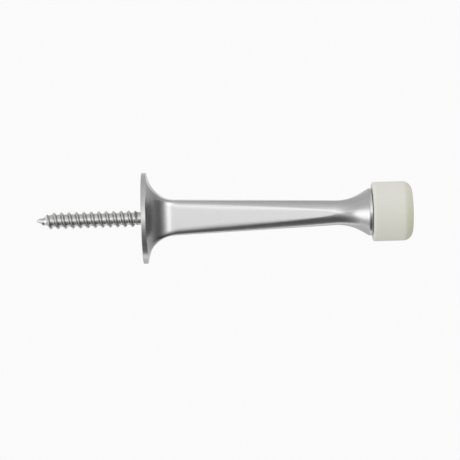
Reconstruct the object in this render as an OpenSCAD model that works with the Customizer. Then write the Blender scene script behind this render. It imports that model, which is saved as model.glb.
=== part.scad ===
// Rigid wall door stop: a die-cast arm with a round base flange and a flared head,
// a hanger screw in the base and a rubber tip pressed into the head.
// The back of the flange lies in the plane x = 0, and the stop points along +X.
// Outlines are given as [distance from the axis, distance from the wall].

/* [Base flange] */
// Diameter of the base flange
flange_d = 25.8; // [23:0.1:30]
// Thickness of the flange's rim at the middle of each flat side
rim_t = 1.25; // [0.8:0.05:2]
// How much thicker the rim is in line with the corners
rim_corner_extra = 0.25; // [0.1:0.05:0.6]
// Rounding of the rim's edge against the wall
rim_round = 0.3; // [0.1:0.05:0.6]

/* [Arm] */
// Distance from the wall to the front of the rubber tip
projection = 76.2; // [66:0.1:100]
// Width across the flats where the flare ends
arm_w = 9.8; // [9:0.05:10.5]
// Diameter over the rounded corners where the flare ends
arm_corner_d = 12.3; // [11.5:0.05:13]
// How much longer than high the flare of the flats is
flat_flare_stretch = -0.15; // [-0.15:0.05:1.5]
// How much longer than high the flare of the corners is
corner_flare_stretch = 2.4; // [1.5:0.1:3.5]
// Diameter of the round neck where the head begins
neck_d = 6.95; // [6.4:0.05:7.4]
// Length of round neck between the end of the flats and the head
neck_l = 0.6; // [0.4:0.1:3]

/* [Head] */
// Length of the flared head
head_l = 10.6; // [10:0.1:14]
// Diameter of the head's land
head_d = 13.4; // [12.5:0.05:14.5]
// Slope of the head's cone to the axis
head_angle = 30.5; // [29:0.5:38]
// Width of the land round the head's end
head_land = 0.55; // [0.3:0.05:1.2]
// Rounding between the cone and the land
head_round = 1; // [0.4:0.1:1.5]
// Diameter of the blind socket for the rubber tip's stem
socket_d = 5.2; // [4.6:0.05:5.4]

/* [Rubber tip] */
// Diameter of the rubber tip
tip_d = 16.8; // [15:0.1:19]
// Length of the rubber tip in front of the head
tip_l = 11.25; // [9:0.05:14]
// Rounding of the front edge
tip_front_round = 2.7; // [1:0.1:4]
// Rounding of the rear edge
tip_rear_round = 0.55; // [0.3:0.05:0.9]
// Height of the seat pad, which keeps a thin gap open behind the rim of the tip
tip_gap = 0.2; // [0.1:0.05:0.6]
// Diameter of the seat pad round the stem
pad_d = 10; // [8:0.1:11.5]
// Diameter of the stem between its barbs
stem_d = 4; // [3.4:0.05:4.2]
// Length of plain stem past the last barb
stem_nose_l = 0.8; // [0.7:0.1:1.5]
// Gap between the barbs and the socket's wall
stem_clearance = 0.04; // [0.02:0.01:0.1]
// Gap between the end of the stem and the bottom of the socket
stem_end_gap = 0.6; // [0.3:0.1:1]
// Number of barbs on the stem
barb_count = 3; // [1:1:3]
// Distance from one barb to the next
barb_pitch = 2; // [1.7:0.05:2.2]
// Length of a barb's sloping side
barb_l = 1.3; // [0.8:0.1:1.5]
// Width of the flat on top of a barb
barb_land = 0.3; // [0.1:0.05:0.4]

/* [Hanger screw] */
// Diameter over the crests of the wood thread
wood_thread_d = 4.8; // [4:0.1:5.6]
// Length of screw that stands out of the flange
screw_l = 30; // [20:0.5:45]
// Length of the gimlet point
point_l = 4.1; // [3:0.1:8]
// Diameter of the plain shank between the two threads
shank_d = 3.65; // [3:0.05:3.9]
// Length of plain shank behind the flange
shank_l = 1.4; // [0.6:0.1:4]
// Length over which the wood thread runs out into the shank
runout_l = 1; // [0.4:0.1:2]
// Diameter over the machine thread in the base
machine_thread_d = 4.76; // [4.2:0.02:5.2]
// Length of the machine thread
machine_thread_l = 12; // [8:0.5:20]
// Chamfer at both ends of the machine thread
machine_chamfer = 0.4; // [0.2:0.05:0.5]
// Gap between the machine thread and the tapped hole
thread_clearance = 0.04; // [0.02:0.01:0.1]
// Width and depth of the chamfer at the mouth of the tapped hole
mouth_chamfer = 0.6; // [0.3:0.05:1]
// Gap between the end of the screw and the bottom of the tapped hole
screw_end_gap = 0.3; // [0.2:0.1:2]

/* [Hidden] */
$fn = 96;
// Half the angle at the point of the drill that leaves each blind hole
drill_half_angle = 59;
// Spare length where one shape cuts through the end of another
over = 1;
// Depth to which a hollow is let into the sides that it joins, so that their surfaces cross
let_in = 0.005;
// Length of rim that the flare then cuts away
flare_waste = 0.5;

flange_r = flange_d / 2;
neck_r = neck_d / 2;
head_r = head_d / 2;
socket_r = socket_d / 2;
tip_r = tip_d / 2;
pad_r = pad_d / 2;
stem_r = stem_d / 2;
barb_r = socket_r - stem_clearance;
wood_thread_r = wood_thread_d / 2;
shank_r = shank_d / 2;
machine_r = machine_thread_d / 2;
tapped_r = machine_r + thread_clearance;

// Places along the stop, from the wall outwards
tip_x = projection - tip_l;
head_x = tip_x - tip_gap;
neck_x = head_x - head_l;
flat_end_x = neck_x - neck_l;
machine_x = mouth_chamfer;
machine_end_x = machine_x + machine_thread_l;
tapped_l = machine_end_x + screw_end_gap;
stem_end_x = head_x - barb_count * barb_pitch - stem_nose_l;
socket_x = stem_end_x - stem_end_gap;

// Rim, foot and taper of the round outline, which makes the corners of the arm
corner_rim = [flange_r, rim_t + rim_corner_extra];
corner_foot_r = arm_corner_d / 2;
corner_foot = [corner_foot_r, corner_rim[1] + flange_r - corner_foot_r + corner_flare_stretch];
neck = [neck_r, neck_x];
corner_taper = atan((corner_foot_r - neck_r) / (neck_x - corner_foot[1]));

// Rim, foot and taper of the flats, which run out on the round neck
flat_rim = [flange_r, rim_t];
flat_foot_r = arm_w / 2;
flat_foot = [flat_foot_r, rim_t + flange_r - flat_foot_r + flat_flare_stretch];
flat_end_r = neck_r + neck_l * tan(corner_taper);
flat_taper = atan((flat_foot_r - flat_end_r) / (flat_end_x - flat_foot[1]));
flat_past_end = [neck_r + neck_l * (tan(corner_taper) - tan(flat_taper)), neck_x];

// Corner, cone and hollow of the head
land_inset = head_round * tan(head_angle / 2);
land_start = [head_r, head_x - head_land];
cone_corner = [head_r, land_start[1] - land_inset];
cone_end = cone_corner - land_inset * [sin(head_angle), cos(head_angle)];
head_hollow_r = ((cone_corner[1] - neck_x) * tan(head_angle) - head_r + neck_r)
    / ((sin(corner_taper) + sin(head_angle)) * tan(head_angle) - cos(corner_taper) + cos(head_angle));
head_hollow = neck + head_hollow_r * outward(corner_taper);
cone_start = head_hollow - head_hollow_r * outward(-head_angle);

// Direction square to a side that narrows by the given angle
function outward(taper) = [cos(taper), sin(taper)];

// Centre of the hollow that touches a tapered side at its foot and passes through the rim
function flare_centre(foot, rim, taper) =
    foot + outward(taper) * pow(norm(rim - foot), 2) / (2 * (rim - foot) * outward(taper));

// Point of a flare at the given distance from the axis, on the wall's side of its centre
function flare_point(centre, foot, r) =
    [r, centre[1] - sqrt(pow(norm(foot - centre), 2) - pow(centre[0] - r, 2))];

// Circle that hollows out an inner corner, let a little into the sides that it joins
module hollow(centre, touching) {
    translate(centre) circle(r = norm(touching - centre) + let_in);
}

// What an arc takes off a sharp outer corner, from one end of the arc to the other
module rounding(centre, from, to) {
    reach = 2;
    difference() {
        polygon([
            centre,
            centre + reach * (from - centre),
            centre + reach * (from + to - 2 * centre),
            centre + reach * (to - centre)
        ]);
        translate(centre) circle(r = norm(from - centre));
    }
}

// Solid of revolution about the stop's axis
module turned() {
    rotate([0, 90, 0]) rotate_extrude() children();
}

// Round outline of the arm: flange, corner flare, taper, neck and head
module round_outline() {
    flare = flare_centre(corner_foot, corner_rim, corner_taper);
    rim_round_centre = [flange_r - rim_round, rim_round];
    head_round_centre = [head_r - head_round, land_start[1]];
    difference() {
        polygon([
            [0, 0],
            [flange_r, 0],
            corner_rim + [0, flare_waste],
            corner_foot,
            neck,
            cone_start,
            cone_corner,
            [head_r, head_x],
            [0, head_x]
        ]);
        rounding(rim_round_centre, [flange_r - rim_round, 0], [flange_r, rim_round]);
        hollow(flare, corner_foot);
        hollow(head_hollow, neck);
        rounding(head_round_centre, cone_end, land_start);
    }
}

// One half of the outline between two opposite flats, open wide past the neck
module flat_half_outline() {
    flare = flare_centre(flat_foot, flat_rim, flat_taper);
    wide_r = (flange_r + flare[0]) / 2;
    flare_top = flare_point(flare, flat_foot, wide_r);
    difference() {
        polygon([
            [0, -over],
            [wide_r, -over],
            flare_top + [0, flare_waste],
            flat_foot,
            flat_past_end,
            [wide_r, neck_x],
            [wide_r, head_x + over],
            [0, head_x + over]
        ]);
        hollow(flare, flat_foot);
    }
}

// Bar bounded by two opposite flats, wide enough to hold the flange
module flats() {
    rotate([0, 0, -90])
        linear_extrude(height = flange_d + 2 * over, center = true)
            union() {
                flat_half_outline();
                mirror([1, 0]) flat_half_outline();
            }
}

// Blind tapped hole in the middle of the flange
module tapped_hole() {
    mouth_r = tapped_r + mouth_chamfer;
    turned()
        polygon([
            [0, -over],
            [mouth_r, -over],
            [mouth_r, 0],
            [tapped_r, mouth_chamfer],
            [tapped_r, tapped_l],
            [0, tapped_l + tapped_r / tan(drill_half_angle)]
        ]);
}

// Blind socket in the end of the head
module stem_socket() {
    turned()
        polygon([
            [0, head_x + over],
            [socket_r, head_x + over],
            [socket_r, socket_x],
            [0, socket_x - socket_r / tan(drill_half_angle)]
        ]);
}

// Cast arm: a square bar with rounded corners between a trumpet flange and a round head
module stop_arm() {
    color([0.72, 0.72, 0.73])
        difference() {
            intersection() {
                turned() round_outline();
                flats();
                rotate([90, 0, 0]) flats();
            }
            tapped_hole();
            stem_socket();
        }
}

// Hanger screw: wood thread and gimlet point outside, machine thread in the tapped hole
module hanger_screw() {
    color([0.82, 0.83, 0.85])
        turned()
            polygon([
                [0, -screw_l],
                [wood_thread_r, point_l - screw_l],
                [wood_thread_r, -shank_l - runout_l],
                [shank_r, -shank_l],
                [shank_r, machine_x],
                [machine_r - machine_chamfer, machine_x],
                [machine_r, machine_x + machine_chamfer],
                [machine_r, machine_end_x - machine_chamfer],
                [machine_r - machine_chamfer, machine_end_x],
                [0, machine_end_x]
            ]);
}

// Outline of the barbed stem, from the seat pad to its end
function stem_points() = [
    [stem_r, head_x],
    for (i = [0 : barb_count - 1])
        let (barb_x = head_x - barb_pitch / 2 - i * barb_pitch)
            each [
                [stem_r, barb_x],
                [barb_r, barb_x],
                [barb_r, barb_x - barb_land],
                [stem_r, barb_x - barb_l]
            ],
    [stem_r, stem_end_x],
    [0, stem_end_x]
];

// Rubber tip with a rounded front edge and a barbed stem
module rubber_tip() {
    front_edge = [tip_r - tip_front_round, projection];
    front_side = [tip_r, projection - tip_front_round];
    rear_side = [tip_r, tip_x + tip_rear_round];
    rear_edge = [tip_r - tip_rear_round, tip_x];
    color([0.84, 0.83, 0.79])
        turned()
            difference() {
                polygon(concat(
                    [[0, projection], [tip_r, projection], [tip_r, tip_x]],
                    [[pad_r, tip_x], [pad_r, head_x]],
                    stem_points()
                ));
                rounding([front_edge[0], front_side[1]], front_edge, front_side);
                rounding([rear_edge[0], rear_side[1]], rear_side, rear_edge);
            }
}

stop_arm();
hanger_screw();
rubber_tip();
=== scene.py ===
"""Looks of a rigid wall door stop: a satin cast arm, a zinc-plated hanger screw and a rubber tip.

The flange's back lies in x = 0, the stop points along +X, and all sizes are in metres.
Outlines are lists of [distance from the wall, distance from the axis].
"""

import math

import bpy
import numpy as np
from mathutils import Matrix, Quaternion, Vector


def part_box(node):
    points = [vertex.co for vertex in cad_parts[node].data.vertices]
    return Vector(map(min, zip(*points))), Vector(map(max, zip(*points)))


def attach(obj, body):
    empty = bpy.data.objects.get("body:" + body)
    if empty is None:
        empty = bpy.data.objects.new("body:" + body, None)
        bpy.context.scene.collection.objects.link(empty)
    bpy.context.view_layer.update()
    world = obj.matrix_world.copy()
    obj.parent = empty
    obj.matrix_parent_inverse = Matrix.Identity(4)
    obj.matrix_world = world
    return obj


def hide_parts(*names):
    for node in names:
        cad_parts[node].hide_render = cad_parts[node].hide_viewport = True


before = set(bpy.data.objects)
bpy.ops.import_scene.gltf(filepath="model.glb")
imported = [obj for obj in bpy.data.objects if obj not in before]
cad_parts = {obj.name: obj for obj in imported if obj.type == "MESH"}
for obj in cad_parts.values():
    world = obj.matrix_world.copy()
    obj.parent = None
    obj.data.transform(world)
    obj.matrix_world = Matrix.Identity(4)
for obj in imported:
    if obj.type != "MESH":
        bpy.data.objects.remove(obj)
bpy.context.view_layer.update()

MM = 0.001
MERGE_DISTANCE = 1e-7
TOLERANCE = 1e-6
SHARP_ANGLE = math.radians(32)
_, arm_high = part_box("stop_arm")
screw_low, screw_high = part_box("hanger_screw")
tip_low, tip_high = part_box("rubber_tip")

# Base flange and arm
FLANGE_R = min(arm_high.y, arm_high.z)
RIM_T = 1.25 * MM
RIM_CORNER_EXTRA = 0.25 * MM
RIM_ROUND = 0.1 * MM
RIM_ROUND_T = 0.15 * MM
ARM_HALF_W = 5 * MM
ARM_CORNER_R = 6.3 * MM
FLAT_FLARE_STRETCH = -0.15 * MM
CORNER_FLARE_STRETCH = 2.4 * MM
NECK_R = 3.5 * MM
CORNER_NECK_R = 3.53 * MM
FLAT_HOLLOW_X = 53.6 * MM
FLAT_HOLLOW_R = 12.8 * MM
EDGE_SOFTNESS = 0.8 * MM
EDGE_FADE = 0.75
FLAT_RING = 0.1 * MM
ARM_SIDES = 256
RIM_STEPS = 8
RIM_CORNER_STEPS = 10
FLARE_STEPS = 70
TAPER_STEPS = 50

# Head
HEAD_X = arm_high.x
HEAD_L = 10.6 * MM
HEAD_R = 6.7 * MM
HEAD_ANGLE = math.radians(30.5)
HEAD_LAND = 0.55 * MM
HEAD_ROUND = 1 * MM
LAND_EDGE_ROUND = 0.12 * MM
HOLLOW_STEPS = 40
CONE_STEPS = 10
HEAD_ROUND_STEPS = 10
LAND_EDGE_STEPS = 5
HEAD_FACE_STEPS = 3

# Holes in the arm
SOCKET_R = 2.6 * MM
SOCKET_L = 7.4 * MM
TAPPED_R = 2.42 * MM
TAPPED_L = 12.9 * MM
MOUTH_CHAMFER = 0.6 * MM
GROOVE_DEPTH = 0.25 * MM
RINGS_PER_TURN = 8
DRILL_HALF_ANGLE = math.radians(59)

# Steps of the outlines' plain faces and short edges
FACE_STEPS = 4
SHORT_STEPS = 2

# Rubber tip
TIP_R = tip_high.y
TIP_FRONT_X = tip_high.x
TIP_GAP = 0.2 * MM
TIP_REAR_X = HEAD_X + TIP_GAP
TIP_FRONT_ROUND = 2.7 * MM
TIP_REAR_ROUND = 0.55 * MM
PAD_R = 5 * MM
STEM_R = 2 * MM
STEM_END_X = tip_low.x
BARB_R = 2.56 * MM
BARB_COUNT = 3
BARB_PITCH = 2 * MM
BARB_L = 1.3 * MM
BARB_LAND = 0.3 * MM
TIP_SIDES = 160
TIP_REAR_STEPS = 10
TIP_SIDE_STEPS = 16
TIP_FRONT_STEPS = 24
TIP_FACE_STEPS = 10

# Hanger screw
SCREW_POINT_X = screw_low.x
SCREW_END_X = screw_high.x
WOOD_PITCH = 2.108 * MM
WOOD_CREST_R = 2.4 * MM
WOOD_ROOT_R = 1.73 * MM
WOOD_CREST_W = 0.24 * MM
WOOD_FLANK_W = 0.54 * MM
WOOD_CREST_X = -1.86 * MM
POINT_R = 0.28 * MM
POINT_SLOPE = 0.54
SHANK_R = 1.825 * MM
SHANK_X = -1.4 * MM
RUNOUT_SLOPE = 0.55
MACHINE_X = 0.6 * MM
MACHINE_PITCH = 1.058 * MM
MACHINE_CREST_R = 2.38 * MM
MACHINE_ROOT_R = 1.78 * MM
MACHINE_CREST_W = 0.13 * MM
MACHINE_FLANK_W = 0.36 * MM
MACHINE_CHAMFER = 0.4 * MM
CREST_SOFTNESS = 0.12
ROOT_SOFTNESS = 0.2
STEPS_PER_TURN = 20
SCREW_SIDES = 56
TOP_SHARE = 0.25
CLOSING_TURNS = 0.5
LAST_WOOD_TURN = (SHANK_X - WOOD_CREST_X) / WOOD_PITCH
LAST_MACHINE_TURN = LAST_WOOD_TURN + (SCREW_END_X - SHANK_X) / MACHINE_PITCH
FIRST_ROW_TURN = math.floor((SCREW_POINT_X - WOOD_CREST_X) / WOOD_PITCH) - 1
LAST_ROW_TURN = math.ceil(LAST_MACHINE_TURN + TOP_SHARE + CLOSING_TURNS)

# Camera
CAMERA_DISTANCE = 0.56
CAMERA_LENS = 154.8
CAMERA_SENSOR = 36
CAMERA_NEAR = 10 * MM
CAMERA_ELEVATION = math.radians(2.5)
CAMERA_ROLL = math.radians(-1.66)
CAMERA_AIM = Vector((24.59 * MM, 0, -4.03 * MM))


class Wire:
    """A socket of a node tree. Arithmetic on wires adds Math nodes, and node() adds any other kind."""

    def __init__(self, tree, socket=None):
        self.tree = tree
        self.socket = socket

    def node(self, kind, settings=None, inputs=None, output=0):
        """Adds a node: its settings first, then the values or wires of its sockets."""
        made = self.tree.nodes.new(kind)
        for key, value in (settings or {}).items():
            setattr(made, key, value)
        for key, value in (inputs or {}).items():
            self.feed(made.inputs[key], value)
        return Wire(self.tree, made.outputs[output] if made.outputs else None)

    def feed(self, socket, value):
        """Links a wire to a socket, or sets the socket's own value."""
        if isinstance(value, Wire):
            self.tree.links.new(value.socket, socket)
        else:
            socket.default_value = value

    def other(self, output):
        """Another output of the node that this wire comes from."""
        return Wire(self.tree, self.socket.node.outputs[output])

    def math(self, operation, *operands):
        return self.node("ShaderNodeMath", {"operation": operation}, dict(enumerate(operands)))

    def __add__(self, other):
        return self.math("ADD", self, other)

    def __sub__(self, other):
        return self.math("SUBTRACT", self, other)

    def __rsub__(self, other):
        return self.math("SUBTRACT", other, self)

    def __mul__(self, other):
        return self.math("MULTIPLY", self, other)

    def __truediv__(self, other):
        return self.math("DIVIDE", self, other)

    def __lt__(self, other):
        return self.math("LESS_THAN", self, other)

    def __gt__(self, other):
        return self.math("GREATER_THAN", self, other)

    def __abs__(self):
        return self.math("ABSOLUTE", self)

    __radd__ = __add__
    __rmul__ = __mul__

    def least(self, other):
        return self.math("MINIMUM", self, other)

    def most(self, other):
        return self.math("MAXIMUM", self, other)

    def soft_least(self, other, distance):
        return self.math("SMOOTH_MIN", self, other, distance)

    def soft_most(self, other, distance):
        return self.math("SMOOTH_MAX", self, other, distance)

    def root(self):
        return self.math("SQRT", self)

    def fraction(self):
        return self.math("FRACT", self)

    def clamped(self):
        return self.node("ShaderNodeClamp", {}, {"Value": self})

    def parts(self):
        """The three numbers of a vector."""
        split = self.node("ShaderNodeSeparateXYZ", {}, {0: self})
        return split, split.other(1), split.other(2)

    def joined(self, x, y, z):
        return self.node("ShaderNodeCombineXYZ", {}, {0: x, 1: y, 2: z})


def smooth_step(value, low, high):
    """0 below low, 1 above high, and a smooth rise between them."""
    share = ((value - low) / (high - low)).clamped()
    return share * share * (3 - 2 * share)


# Outlines

def point(x, r):
    return np.array([x, r])


def run(start, end, steps):
    """Points from start up to, but not including, end."""
    return [start + (end - start) * i / steps for i in range(steps)]


def arc(centre, start, end, steps):
    """Points round a centre from start up to, but not including, end, by the short way."""
    first, last = start - centre, end - centre
    turn = math.atan2(first[0] * last[1] - first[1] * last[0], first @ last)
    turns = [turn * i / steps for i in range(steps)]
    return [
        centre + point(
            first[0] * math.cos(a) - first[1] * math.sin(a),
            first[0] * math.sin(a) + first[1] * math.cos(a),
        )
        for a in turns
    ]


def outward(taper):
    """Direction square to a side that narrows by the given angle."""
    return point(math.sin(taper), math.cos(taper))


def flare_centre(foot, rim, taper):
    """Centre of the hollow that touches a tapered side at its foot and passes through the rim."""
    reach = rim - foot
    return foot + outward(taper) * (reach @ reach) / (2 * reach @ outward(taper))


NECK_X = HEAD_X - HEAD_L
corner_rim = point(RIM_T + RIM_CORNER_EXTRA, FLANGE_R)
corner_foot = point(corner_rim[0] + FLANGE_R - ARM_CORNER_R + CORNER_FLARE_STRETCH, ARM_CORNER_R)
corner_taper = math.atan((ARM_CORNER_R - CORNER_NECK_R) / (NECK_X - corner_foot[0]))
flat_rim = point(RIM_T, FLANGE_R)
flat_foot = point(RIM_T + FLANGE_R - ARM_HALF_W + FLAT_FLARE_STRETCH, ARM_HALF_W)
flat_taper = math.atan((ARM_HALF_W - NECK_R) / (NECK_X - flat_foot[0]))


def arm_outline():
    """Casting before its flats are cut, from the bottom of the tapped hole to that of the socket."""
    tapped_end = point(TAPPED_L, TAPPED_R)
    tapped_start = point(MOUTH_CHAMFER, TAPPED_R)
    mouth = point(0, TAPPED_R + MOUTH_CHAMFER)
    neck = point(NECK_X, CORNER_NECK_R)
    rim_edge = point(0, FLANGE_R - RIM_ROUND)
    back_ring = rim_edge - point(0, FLAT_RING)
    rim_side = point(RIM_ROUND_T, FLANGE_R)
    rim_round_r = (RIM_ROUND_T ** 2 + RIM_ROUND ** 2) / (2 * RIM_ROUND)
    land_inset = HEAD_ROUND * math.tan(HEAD_ANGLE / 2)
    land_start = point(HEAD_X - HEAD_LAND, HEAD_R)
    cone_corner = land_start - point(land_inset, 0)
    cone_end = cone_corner - land_inset * point(math.cos(HEAD_ANGLE), math.sin(HEAD_ANGLE))
    hollow_r = ((cone_corner[0] - NECK_X) * math.tan(HEAD_ANGLE) - HEAD_R + CORNER_NECK_R) / (
        (math.sin(corner_taper) + math.sin(HEAD_ANGLE)) * math.tan(HEAD_ANGLE)
        - math.cos(corner_taper) + math.cos(HEAD_ANGLE)
    )
    hollow = neck + hollow_r * outward(corner_taper)
    cone_start = hollow - hollow_r * outward(-HEAD_ANGLE)
    land_edge = point(HEAD_X - LAND_EDGE_ROUND, HEAD_R)
    face_edge = point(HEAD_X, HEAD_R - LAND_EDGE_ROUND)
    face_ring = face_edge - point(0, FLAT_RING)
    socket_start = point(HEAD_X, SOCKET_R)
    socket_end = point(HEAD_X - SOCKET_L, SOCKET_R)
    socket_tip = point(socket_end[0] - SOCKET_R / math.tan(DRILL_HALF_ANGLE), 0)
    tapped_rings = round((TAPPED_L - MOUTH_CHAMFER) / MACHINE_PITCH * RINGS_PER_TURN)
    return [
        *run(point(TAPPED_L + TAPPED_R / math.tan(DRILL_HALF_ANGLE), 0), tapped_end, SHORT_STEPS),
        *run(tapped_end, tapped_start, tapped_rings),
        *run(tapped_start, mouth, SHORT_STEPS),
        *run(mouth, back_ring, FACE_STEPS),
        back_ring,
        *arc(rim_side - point(0, rim_round_r), rim_edge, rim_side, RIM_STEPS),
        *run(rim_side, flat_rim, SHORT_STEPS),
        *run(flat_rim, corner_rim, RIM_CORNER_STEPS),
        *arc(flare_centre(corner_foot, corner_rim, corner_taper), corner_rim, corner_foot, FLARE_STEPS),
        *run(corner_foot, neck, TAPER_STEPS),
        *arc(hollow, neck, cone_start, HOLLOW_STEPS),
        *run(cone_start, cone_end, CONE_STEPS),
        *arc(land_start - point(0, HEAD_ROUND), cone_end, land_start, HEAD_ROUND_STEPS),
        *run(land_start, land_edge, SHORT_STEPS),
        *arc(point(land_edge[0], face_edge[1]), land_edge, face_edge, LAND_EDGE_STEPS),
        face_edge,
        *run(face_ring, socket_start, HEAD_FACE_STEPS),
        *run(socket_start, socket_end, FACE_STEPS),
        *run(socket_end, socket_tip, SHORT_STEPS),
        socket_tip,
    ]


def tip_outline():
    """Rubber tip, from the end of its stem round to the middle of its front."""
    corners = [point(STEM_END_X, 0), point(STEM_END_X, STEM_R)]
    for i in reversed(range(BARB_COUNT)):
        barb_x = HEAD_X - BARB_PITCH / 2 - i * BARB_PITCH
        corners += [
            point(barb_x - BARB_L, STEM_R),
            point(barb_x - BARB_LAND, BARB_R),
            point(barb_x, BARB_R),
            point(barb_x, STEM_R),
        ]
    corners += [point(HEAD_X, STEM_R), point(HEAD_X, PAD_R), point(TIP_REAR_X, PAD_R)]
    rear_edge = point(TIP_REAR_X, TIP_R - TIP_REAR_ROUND)
    rear_side = point(TIP_REAR_X + TIP_REAR_ROUND, TIP_R)
    front_side = point(TIP_FRONT_X - TIP_FRONT_ROUND, TIP_R)
    front_edge = point(TIP_FRONT_X, TIP_R - TIP_FRONT_ROUND)
    front_middle = point(TIP_FRONT_X, 0)
    return [
        *corners,
        *run(corners[-1], rear_edge, FACE_STEPS)[1:],
        *arc(point(rear_side[0], rear_edge[1]), rear_edge, rear_side, TIP_REAR_STEPS),
        *run(rear_side, front_side, TIP_SIDE_STEPS),
        *arc(point(front_side[0], front_edge[1]), front_side, front_edge, TIP_FRONT_STEPS),
        *run(front_edge, front_middle, TIP_FACE_STEPS),
        front_middle,
    ]


# Geometry Nodes

def new_tree(name, inputs):
    """A Geometry Nodes tree with named inputs. Gives the tree and a wire for each input."""
    tree = bpy.data.node_groups.new(name, "GeometryNodeTree")
    for label, kind in inputs.items():
        tree.interface.new_socket(name=label, in_out="INPUT", socket_type=f"NodeSocket{kind}")
    tree.interface.new_socket(name="Geometry", in_out="OUTPUT", socket_type="NodeSocketGeometry")
    group = tree.nodes.new("NodeGroupInput")
    return tree, {label: Wire(tree, group.outputs[label]) for label in inputs}


def end_tree(tree, geometry, material):
    """Closes a tree: merged doubles, smooth faces, real geometry and a material."""
    merged = geometry.node(
        "GeometryNodeMergeByDistance", {}, {"Geometry": geometry, "Distance": MERGE_DISTANCE},
    )
    smooth = merged.node("GeometryNodeSetShadeSmooth", {}, {"Geometry": merged})
    real = smooth.node("GeometryNodeRealizeInstances", {}, {"Geometry": smooth})
    done = real.node("GeometryNodeSetMaterial", {}, {"Geometry": real, "Material": material})
    done.node("NodeGroupOutput", {}, {"Geometry": done})


def unit_grid(wire, along, around):
    """A grid of the given counts, with wires for its mesh and for its two shares from 0 to 1."""
    sizes = {"Size X": 1, "Size Y": 1, "Vertices X": along, "Vertices Y": around + 1}
    grid = wire.node("GeometryNodeMeshGrid", {}, sizes)
    x, y, _ = wire.node("GeometryNodeInputPosition").parts()
    return grid, x + 0.5, y + 0.5


def wrapped(wire, x, r, share):
    """Place at a distance along the axis and from it, at a share of a turn from +Y towards +Z."""
    angle = share * math.tau
    return wire.joined(x, r * wire.math("COSINE", angle), r * wire.math("SINE", angle))


def moved(geometry, position):
    return geometry.node("GeometryNodeSetPosition", {}, {"Geometry": geometry, "Position": position})


def turned_tree():
    """Turns an outline round the stop's axis."""
    tree, given = new_tree("turned_outline", {
        "Outline": "Geometry", "Points": "Int", "Sides": "Int", "Material": "Material",
    })
    outline = given["Outline"]
    grid, along, around = unit_grid(outline, given["Points"], given["Sides"])
    index = along.math("ROUND", along * (given["Points"] - 1))
    place = outline.node(
        "GeometryNodeSampleIndex", {"data_type": "FLOAT_VECTOR"},
        {"Geometry": outline, "Value": outline.node("GeometryNodeInputPosition"), "Index": index},
    )
    x, r, _ = place.parts()
    end_tree(tree, moved(grid, wrapped(outline, x, r, around)), given["Material"])
    return tree


def flats_tree():
    """Cuts four flats on a turned arm: a flare at the flange, a taper, and a hollow into the head."""
    tree, given = new_tree("arm_flats", {
        "Arm": "Geometry", "Flare Centre X": "Float", "Flare Centre R": "Float", "Flare Radius": "Float",
        "Foot X": "Float", "Foot R": "Float", "Taper": "Float", "Neck X": "Float", "Neck R": "Float",
        "Hollow Centre X": "Float", "Hollow Centre R": "Float", "Hollow Radius": "Float",
        "Edge Softness": "Float", "Edge Fade": "Float", "Rim X": "Float", "Material": "Material",
    })
    arm = given["Arm"]
    x, y, z = arm.node("GeometryNodeInputPosition").parts()

    def hollowed(kind):
        from_centre = x - given[kind + " Centre X"]
        radius = given[kind + " Radius"]
        return given[kind + " Centre R"] - (radius * radius - from_centre * from_centre).most(0).root()

    straight = given["Foot R"] - (x - given["Foot X"]) * given["Taper"]
    in_flare = x < given["Foot X"]
    past_neck = x > given["Neck X"]
    half_w = in_flare * hollowed("Flare") + past_neck * hollowed("Hollow")
    half_w = half_w + (1 - in_flare) * (1 - past_neck) * straight
    r = (y * y + z * z).root().most(TOLERANCE)
    flat_r = half_w * r / abs(y).most(abs(z)).most(TOLERANCE)
    from_ends = (half_w - given["Neck R"]).least(x - given["Rim X"]).most(0)
    softness = given["Edge Softness"].least(from_ends * given["Edge Fade"] * (1 - past_neck))
    share = r.soft_least(flat_r, softness) / r
    end_tree(tree, moved(arm, arm.joined(x, y * share, z * share)), given["Material"])
    return tree


def tapped_tree():
    """Winds a right-handed groove into the wall of a turned arm's hole."""
    tree, given = new_tree("tapped_groove", {
        "Arm": "Geometry", "Hole R": "Float", "Mouth X": "Float", "End X": "Float",
        "Pitch": "Float", "Depth": "Float", "Material": "Material",
    })
    arm = given["Arm"]
    x, y, z = arm.node("GeometryNodeInputPosition").parts()
    r = (y * y + z * z).root().most(TOLERANCE)
    on_wall = (abs(r - given["Hole R"]) < TOLERANCE) * (x > given["Mouth X"]) * (x < given["End X"])
    phase = x / given["Pitch"] * math.tau - arm.math("ARCTAN2", z, y)
    groove = (1 - arm.math("COSINE", phase)) / 2 * given["Depth"]
    share = 1 + on_wall * groove / r
    end_tree(tree, moved(arm, arm.joined(x, y * share, z * share)), given["Material"])
    return tree


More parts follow.
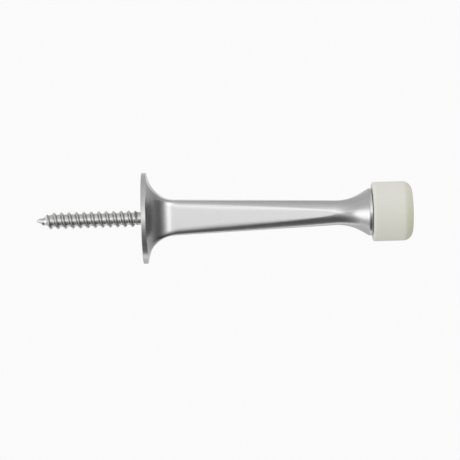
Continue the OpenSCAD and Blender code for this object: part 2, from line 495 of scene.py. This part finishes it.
def screw_tree():
    """Winds the hanger screw as one skin, whose rows follow the wood thread, then the machine thread."""
    tree, given = new_tree("hanger_screw", {
        "Geometry": "Geometry", "First Turn": "Int", "Turns": "Int", "Steps": "Int", "Sides": "Int",
        "Point X": "Float", "End X": "Float", "Crest X": "Float",
        "Shank X": "Float", "Shank R": "Float", "Machine X": "Float",
        "Wood Pitch": "Float", "Wood Crest R": "Float", "Wood Root R": "Float",
        "Wood Crest W": "Float", "Wood Flank W": "Float",
        "Machine Pitch": "Float", "Machine Crest R": "Float", "Machine Root R": "Float",
        "Machine Crest W": "Float", "Machine Flank W": "Float",
        "Point R": "Float", "Point Slope": "Float", "Runout Slope": "Float", "Chamfer": "Float",
        "Material": "Material",
    })
    start = given["Geometry"]
    wood_pitch, machine_pitch = given["Wood Pitch"], given["Machine Pitch"]
    grid, along, around = unit_grid(start, given["Turns"] * given["Steps"] + 1, given["Sides"])

    # Turns are counted from a crest at the top of the screw, and the pitch changes on the shank
    turn = given["First Turn"] + along * given["Turns"]
    last_wood = (given["Shank X"] - given["Crest X"]) / wood_pitch

    def place_of(turns):
        wood_l = wood_pitch * turns.least(last_wood)
        return given["Crest X"] + wood_l + machine_pitch * (turns - last_wood).most(0)

    row_x = place_of(turn - TOP_SHARE)
    free_x = row_x + around * (place_of(turn + 1 - TOP_SHARE) - row_x)
    x = free_x.most(given["Point X"]).least(given["End X"])

    # Ridge of the thread: 1 on its crest, 0 on the root between two turns
    from_crest = abs((turn + 0.5).fraction() - 0.5)

    def ridge(pitch, crest_w, flank_w):
        rise = (crest_w / 2 + flank_w - from_crest * pitch) / flank_w
        return rise.soft_least(1, CREST_SOFTNESS).soft_most(0, ROOT_SOFTNESS)

    wood_r = given["Wood Root R"] + (given["Wood Crest R"] - given["Wood Root R"]) * ridge(
        wood_pitch, given["Wood Crest W"], given["Wood Flank W"])
    machine_r = given["Machine Root R"] + (given["Machine Crest R"] - given["Machine Root R"]) * ridge(
        machine_pitch, given["Machine Crest W"], given["Machine Flank W"])

    # The wood thread tapers at the point and runs out on the shank, and the machine thread is chamfered
    from_point = x - given["Point X"]
    cone = given["Point R"] + from_point * given["Point Slope"]
    core_share = (cone / given["Wood Crest R"]).least(1)
    runout = given["Shank R"] + (given["Shank X"] - x).most(0) * given["Runout Slope"]
    wood_r = (wood_r * core_share).least(runout)
    low_r = given["Machine Crest R"] - given["Chamfer"]
    near_end = (x - given["Machine X"]).least(given["End X"] - x).most(0)
    machine_r = machine_r.least(low_r + near_end)
    in_machine = x > given["Machine X"]
    in_shank = (x > given["Shank X"]) * (1 - in_machine)
    in_wood = 1 - in_machine - in_shank
    r = in_wood * wood_r + in_shank * given["Shank R"] + in_machine * machine_r

    # Rows past either end close it
    past = (given["Point X"] - free_x).most(free_x - given["End X"]).most(0)
    r = r * (1 - past / (machine_pitch * CLOSING_TURNS)).most(0)
    end_tree(tree, moved(grid, wrapped(start, x, r, around)), given["Material"])
    return tree


def add_nodes(piece, tree, values):
    """Puts a tree on a piece, with its inputs set by their identifiers."""
    modifier = piece.modifiers.new(tree.name, "NODES")
    modifier.node_group = tree
    for item in tree.interface.items_tree:
        if item.in_out == "INPUT" and item.name in values:
            modifier[item.identifier] = values[item.name]


def plain_mesh(piece):
    """Turns what the piece's trees make into its own plain mesh, with its faces pointing outwards."""
    bpy.context.view_layer.update()
    made = bpy.data.meshes.new_from_object(piece.evaluated_get(bpy.context.evaluated_depsgraph_get()))
    piece.modifiers.clear()
    piece.data = made
    made.name = piece.name
    made.calc_loop_triangles()
    corners = np.array([[made.vertices[v].co[:] for v in t.vertices] for t in made.loop_triangles])
    volume = np.einsum("ij,ij->i", corners[:, 0], np.cross(corners[:, 1], corners[:, 2])).sum()
    if volume < 0:
        made.flip_normals()
    made.set_sharp_from_angle(angle=SHARP_ANGLE)


def new_piece(name, points=()):
    """An object whose mesh holds an outline's points, for the trees to work on."""
    mesh = bpy.data.meshes.new(name)
    mesh.from_pydata([(x, r, 0) for x, r in points], [], [])
    piece = bpy.data.objects.new(name, mesh)
    bpy.context.scene.collection.objects.link(piece)
    return piece


def turned_piece(name, outline, sides, material):
    piece = new_piece(name, outline)
    add_nodes(piece, turned, {"Points": len(outline), "Sides": sides, "Material": material})
    return piece


# Finishes

CHROME_DARK = (0.66, 0.66, 0.66)
CHROME_LIGHT = (0.74, 0.74, 0.74)
CAST_GREY = (0.5, 0.5, 0.5)
# The grey fades out between these distances from the axis and from the wall
CAST_R = (8 * MM, 12 * MM)
CAST_X = (3.5 * MM, 6.5 * MM)
CAST_BACK_T = 0.1 * MM

ZINC_DARK = (0.6, 0.6, 0.595)
ZINC_LIGHT = (0.98, 0.98, 0.975)
# Painted shade: the thread flanks are drawn towards this grey
FLANK_SHADE = (0.34, 0.34, 0.335)

RUBBER_DARK = (0.625, 0.62, 0.575)
RUBBER_LIGHT = (0.67, 0.665, 0.625)
RUBBER_UNDER = (0.65, 0.64, 0.54)
# Painted highlight where the rear edge catches the light
RUBBER_REAR_HIGHLIGHT = (0.76, 0.755, 0.72)
RUBBER_FRONT = (0.52, 0.52, 0.395)
# Width over which the rear edge's painted highlight fades
REAR_HIGHLIGHT_BAND = 1.2 * MM
# The front's yellow starts and is full at these distances from the front and from the side
FRONT_BAND = (3 * MM, 1.4 * MM)
FRONT_RING = (5 * MM, 1.5 * MM)


def new_finish(name, constants):
    """A Principled material with its constant values set on the shader's own sockets."""
    finish = bpy.data.materials.new(name)
    finish.use_nodes = True
    shader = finish.node_tree.nodes["Principled BSDF"]
    for label, value in constants.items():
        shader.inputs[label].default_value = value
    return finish, Wire(finish.node_tree), shader


def noise(wire, place, scale, detail=3.0):
    settings = {"noise_dimensions": "3D"}
    return wire.node("ShaderNodeTexNoise", settings, {"Vector": place, "Scale": scale, "Detail": detail})


def stretched(wire, place, scale):
    return wire.node("ShaderNodeMapping", {}, {"Vector": place, "Scale": scale})


def tinted(wire, share, colour, tint):
    """A colour wire, or a colour with its alpha, drawn towards a tint."""
    colours = {0: share, 6: colour, 7: (*tint, 1)}
    return wire.node("ShaderNodeMix", {"data_type": "RGBA"}, colours, output=2)


def mixed(wire, share, first, second):
    """A colour between two plain colours."""
    return tinted(wire, share, (*first, 1), second)


def bumped(wire, shader, height, strength, distance):
    values = {"Strength": strength, "Distance": distance, "Height": height}
    wire.feed(shader.inputs["Normal"], wire.node("ShaderNodeBump", {}, values))


def satin_chrome():
    """Chrome rubbed along the arm, duller deep in the flare and on the flange's back."""
    finish, wire, shader = new_finish("satin_chrome", {"Metallic": 1.0})
    place = wire.node("ShaderNodeTexCoord", output="Object")
    x, y, z = place.parts()
    deep = 1 - smooth_step((y * y + z * z).root(), *CAST_R)
    back = 1 - smooth_step(x, 0, CAST_BACK_T)
    dull = (deep * (1 - smooth_step(x, *CAST_X))).most(back)
    rubbing = noise(wire, stretched(wire, place, (60, 3200, 3200)), 1.0, 4.0)
    clouds = noise(wire, place, 170, 2.0)
    tone = rubbing * 0.6 + clouds * 0.4
    plate = mixed(wire, tone, CHROME_DARK, CHROME_LIGHT)
    wire.feed(shader.inputs["Base Color"], tinted(wire, dull * 0.8, plate, CAST_GREY))
    wire.feed(shader.inputs["Roughness"], 0.17 + rubbing * 0.06 + clouds * 0.04 + dull * 0.14)
    bumped(wire, shader, rubbing, 0.03, 0.02 * MM)
    return finish


def zinc_plate():
    """Bright zinc on rolled threads, rougher on their flanks and darkened there with painted shade."""
    finish, wire, shader = new_finish("zinc_plate", {"Metallic": 1.0})
    place = wire.node("ShaderNodeTexCoord", output="Object")
    _, y, z = place.parts()
    height = smooth_step((y * y + z * z).root(), WOOD_ROOT_R, WOOD_CREST_R)
    flank = 4 * height * (1 - height)
    grain = noise(wire, place, 900, 4.0)
    plate = mixed(wire, grain, ZINC_DARK, ZINC_LIGHT)
    # Painted shade darkens the flanks of the threads
    wire.feed(shader.inputs["Base Color"], tinted(wire, flank * 0.72, plate, FLANK_SHADE))
    wire.feed(shader.inputs["Roughness"], 0.10 + grain * 0.08 + flank * 0.10)
    bumped(wire, shader, grain, 0.25, 0.1 * MM)
    return finish


def white_rubber():
    """Off-white moulded rubber, darker and yellower at its front edge, yellower underneath, with a
    painted highlight on its rear edge.
    """
    finish, wire, shader = new_finish("white_rubber", {"Specular IOR Level": 0.4})
    place = wire.node("ShaderNodeTexCoord", output="Object")
    x, y, z = place.parts()
    clouds = noise(wire, place, 240, 3.0)
    grain = noise(wire, place, 2600, 3.0)
    under = 1 - smooth_step(z, -TIP_R, TIP_R)
    edge = smooth_step((y * y + z * z).root(), TIP_R - FRONT_RING[0], TIP_R - FRONT_RING[1])
    front = smooth_step(x, TIP_FRONT_X - FRONT_BAND[0], TIP_FRONT_X - FRONT_BAND[1])
    front = front * (0.4 + edge * 0.6) * (0.25 + clouds * 0.5 + under * 0.5)
    # Painted highlight: the rear edge is drawn paler, as if it caught the light
    rear_highlight = (1 - smooth_step(x, TIP_REAR_X, TIP_REAR_X + REAR_HIGHLIGHT_BAND)) * 0.4
    rubber = mixed(wire, clouds, RUBBER_DARK, RUBBER_LIGHT)
    rubber = tinted(wire, under * 0.6, rubber, RUBBER_UNDER)
    rubber = tinted(wire, rear_highlight, rubber, RUBBER_REAR_HIGHLIGHT)
    wire.feed(shader.inputs["Base Color"], tinted(wire, front, rubber, RUBBER_FRONT))
    wire.feed(shader.inputs["Roughness"], 0.48 + grain * 0.16)
    bumped(wire, shader, grain, 0.15, 0.04 * MM)
    return finish


# Pieces

turned = turned_tree()
chrome = satin_chrome()
arm = turned_piece("cast_arm", arm_outline(), ARM_SIDES, chrome)
flare = flare_centre(flat_foot, flat_rim, flat_taper)
hollow_start = point(FLAT_HOLLOW_X, NECK_R + (NECK_X - FLAT_HOLLOW_X) * math.tan(flat_taper))
hollow = hollow_start + FLAT_HOLLOW_R * outward(flat_taper)
add_nodes(arm, flats_tree(), {
    "Flare Centre X": flare[0], "Flare Centre R": flare[1],
    "Flare Radius": float(np.linalg.norm(flat_foot - flare)),
    "Foot X": flat_foot[0], "Foot R": flat_foot[1], "Taper": math.tan(flat_taper),
    "Neck X": FLAT_HOLLOW_X, "Neck R": NECK_R,
    "Hollow Centre X": hollow[0], "Hollow Centre R": hollow[1], "Hollow Radius": FLAT_HOLLOW_R,
    "Edge Softness": EDGE_SOFTNESS, "Edge Fade": EDGE_FADE, "Rim X": RIM_T, "Material": chrome,
})
add_nodes(arm, tapped_tree(), {
    "Hole R": TAPPED_R, "Mouth X": MOUTH_CHAMFER, "End X": TAPPED_L,
    "Pitch": MACHINE_PITCH, "Depth": GROOVE_DEPTH, "Material": chrome,
})
plain_mesh(arm)
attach(arm, "arm")
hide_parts("stop_arm")

screw = new_piece("threaded_screw")
add_nodes(screw, screw_tree(), {
    "First Turn": FIRST_ROW_TURN, "Turns": LAST_ROW_TURN - FIRST_ROW_TURN,
    "Steps": STEPS_PER_TURN, "Sides": SCREW_SIDES,
    "Point X": SCREW_POINT_X, "End X": SCREW_END_X, "Crest X": WOOD_CREST_X,
    "Shank X": SHANK_X, "Shank R": SHANK_R, "Machine X": MACHINE_X,
    "Wood Pitch": WOOD_PITCH, "Wood Crest R": WOOD_CREST_R, "Wood Root R": WOOD_ROOT_R,
    "Wood Crest W": WOOD_CREST_W, "Wood Flank W": WOOD_FLANK_W,
    "Machine Pitch": MACHINE_PITCH,
    "Machine Crest R": MACHINE_CREST_R, "Machine Root R": MACHINE_ROOT_R,
    "Machine Crest W": MACHINE_CREST_W, "Machine Flank W": MACHINE_FLANK_W,
    "Point R": POINT_R, "Point Slope": POINT_SLOPE, "Runout Slope": RUNOUT_SLOPE,
    "Chamfer": MACHINE_CHAMFER, "Material": zinc_plate(),
})
plain_mesh(screw)
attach(screw, "screw")
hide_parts("hanger_screw")

tip = turned_piece("soft_tip", tip_outline(), TIP_SIDES, white_rubber())
plain_mesh(tip)
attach(tip, "tip")
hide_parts("rubber_tip")

# Stage

scene = bpy.context.scene
scene.view_settings.view_transform = "Standard"

STAGE_CENTRE = Vector((25 * MM, 0, 0))
WHITE = 0.96
AMBIENT = 1.02
FLOOR_Z = -0.4
FLOOR_SIZE = 12
FLOOR_TONE = 0.75
FLOOR_GRAIN = 0.01
FLOOR_NEAR = 0.6
FLOOR_FAR = 1.6

# Lamps: degrees right of the camera and above the horizon, distance, width, height and brightness
LAMPS = {
    "front_panel": (15, 16, 0.9, 0.8, 0.6, 0.3),
    "front_strip": (22, 5, 0.9, 0.25, 0.3, 0.65),
    "left_box": (-65, -23, 0.8, 0.8, 1.2, 0.5),
    "top_box": (0, 86, 0.9, 0.5, 0.5, 0.3),
}
# Dark cards that show only in reflections: placed and sized like the lamps,
# then the share of the width and of the height that fades out, and the tone
CARDS = {
    "low_card": (20, -65, 0.33, 1.5, 1.65, 0.5, 0.5, 0.1),
    "right_card": (72, -27, 0.35, 0.95, 1.85, 0.5, 0.5, 0.05),
    "right_high_card": (105, 18, 0.36, 2, 1.75, 0.4, 0.25, 0.4),
    "left_high_card": (-62, 40, 0.37, 1.75, 0.75, 0.5, 0.5, 0.55),
    "top_card": (35, 108, 0.38, 0.7, 1.8, 0.1, 0.5, 0.5),
    "back_card": (220, -33, 0.39, 1.1, 0.75, 0.05, 0.35, 0.55),
    "left_card": (-20, -10, 0.45, 0.2, 0.3, 0.2, 0.25, 0.6),
}


def facing(azimuth, elevation):
    """Direction from the stage's centre, in degrees to the right of the camera and above the horizon."""
    turn, rise = math.radians(azimuth), math.radians(elevation)
    return Vector((math.sin(turn) * math.cos(rise), -math.cos(turn) * math.cos(rise), math.sin(rise)))


def put(name, data, azimuth, elevation, distance):
    """Puts an object on the stage, with its -Z side towards the stage's centre."""
    direction = facing(azimuth, elevation)
    placed = bpy.data.objects.new(name, data)
    placed.location = STAGE_CENTRE + direction * distance
    placed.rotation_mode = "QUATERNION"
    placed.rotation_quaternion = (-direction).to_track_quat("-Z", "Y")
    scene.collection.objects.link(placed)
    return placed


def flat_mesh(name, material):
    """A square of side 1 about the origin."""
    mesh = bpy.data.meshes.new(name)
    corners = [(-0.5, -0.5, 0), (0.5, -0.5, 0), (0.5, 0.5, 0), (-0.5, 0.5, 0)]
    mesh.from_pydata(corners, [], [(0, 1, 2, 3)])
    mesh.materials.append(material)
    return mesh


def add_lamp(name, azimuth, elevation, distance, width, height, brightness):
    lamp = bpy.data.lights.new(name, "AREA")
    lamp.shape = "RECTANGLE"
    lamp.size = width
    lamp.size_y = height
    lamp.energy = brightness * math.pi * width * height
    put(name, lamp, azimuth, elevation, distance).visible_camera = False


def bare_material(name):
    """A material with only its output left, and a wire to build on."""
    made = bpy.data.materials.new(name)
    made.use_nodes = True
    nodes = made.node_tree.nodes
    nodes.remove(nodes["Principled BSDF"])
    return made, Wire(made.node_tree), nodes["Material Output"].inputs["Surface"]


def seen_directly(wire):
    """1 for what the camera, a mirror or a lens sees, 0 for light that falls on something."""
    path = wire.node("ShaderNodeLightPath", output="Is Camera Ray")
    return path.most(path.other("Is Glossy Ray")).most(path.other("Is Transmission Ray"))


def add_card(name, azimuth, elevation, distance, width, height, fade_x, fade_y, tone):
    material, wire, surface = bare_material(name)
    x, y, _ = wire.node("ShaderNodeTexCoord", output="Object").parts()
    cover = smooth_step(0.5 - abs(x), 0, fade_x) * smooth_step(0.5 - abs(y), 0, fade_y)
    dark = wire.node("ShaderNodeEmission", {}, {"Color": (tone, tone, tone, 1)})
    clear = wire.node("ShaderNodeBsdfTransparent")
    wire.feed(surface, wire.node("ShaderNodeMixShader", {}, {0: cover, 1: clear, 2: dark}))
    card = put(name, flat_mesh(name, material), azimuth, elevation, distance)
    card.scale = (width, height, 1)
    card.visible_camera = False
    card.visible_diffuse = False
    card.visible_transmission = False
    card.visible_shadow = False


def add_floor():
    """Pale floor that keeps the object's shadow, and turns into the white background far away."""
    material, wire, surface = bare_material("pale_floor")
    place = wire.node("ShaderNodeTexCoord", output="Object")
    away = wire.node("ShaderNodeVectorMath", {"operation": "LENGTH"}, {0: place}, output="Value")
    speckle = noise(wire, place, 900, 2.0)
    tone = mixed(wire, speckle, (FLOOR_TONE - FLOOR_GRAIN,) * 3, (FLOOR_TONE + FLOOR_GRAIN,) * 3)
    pale = wire.node("ShaderNodeBsdfDiffuse", {}, {"Color": tone})
    white = wire.node("ShaderNodeEmission", {}, {"Strength": WHITE})
    far = smooth_step(away * FLOOR_SIZE, FLOOR_NEAR, FLOOR_FAR) * seen_directly(wire)
    wire.feed(surface, wire.node("ShaderNodeMixShader", {}, {0: far, 1: pale, 2: white}))
    floor = bpy.data.objects.new("pale_floor", flat_mesh("pale_floor", material))
    floor.location = (STAGE_CENTRE.x, 0, FLOOR_Z)
    floor.scale = (FLOOR_SIZE, FLOOR_SIZE, 1)
    scene.collection.objects.link(floor)


def add_world():
    """White for what is seen directly or in a reflection, and an even light on everything."""
    world = bpy.data.worlds.new("studio")
    scene.world = world
    world.use_nodes = True
    wire = Wire(world.node_tree)
    background = world.node_tree.nodes["Background"]
    background.inputs["Color"].default_value = (1, 1, 1, 1)
    wire.feed(background.inputs["Strength"], AMBIENT + (WHITE - AMBIENT) * seen_directly(wire))


def add_camera():
    back = Vector((0, -math.cos(CAMERA_ELEVATION), math.sin(CAMERA_ELEVATION)))
    lens = bpy.data.cameras.new("camera")
    lens.lens = CAMERA_LENS
    lens.sensor_width = CAMERA_SENSOR
    lens.clip_start = CAMERA_NEAR
    camera = bpy.data.objects.new("camera", lens)
    camera.location = CAMERA_AIM + CAMERA_DISTANCE * back
    camera.rotation_mode = "QUATERNION"
    camera.rotation_quaternion = (-back).to_track_quat("-Z", "Y") @ Quaternion((0, 0, 1), CAMERA_ROLL)
    scene.collection.objects.link(camera)
    scene.camera = camera


add_world()
add_floor()
add_camera()
for name, values in LAMPS.items():
    add_lamp(name, *values)
for name, values in CARDS.items():
    add_card(name, *values)
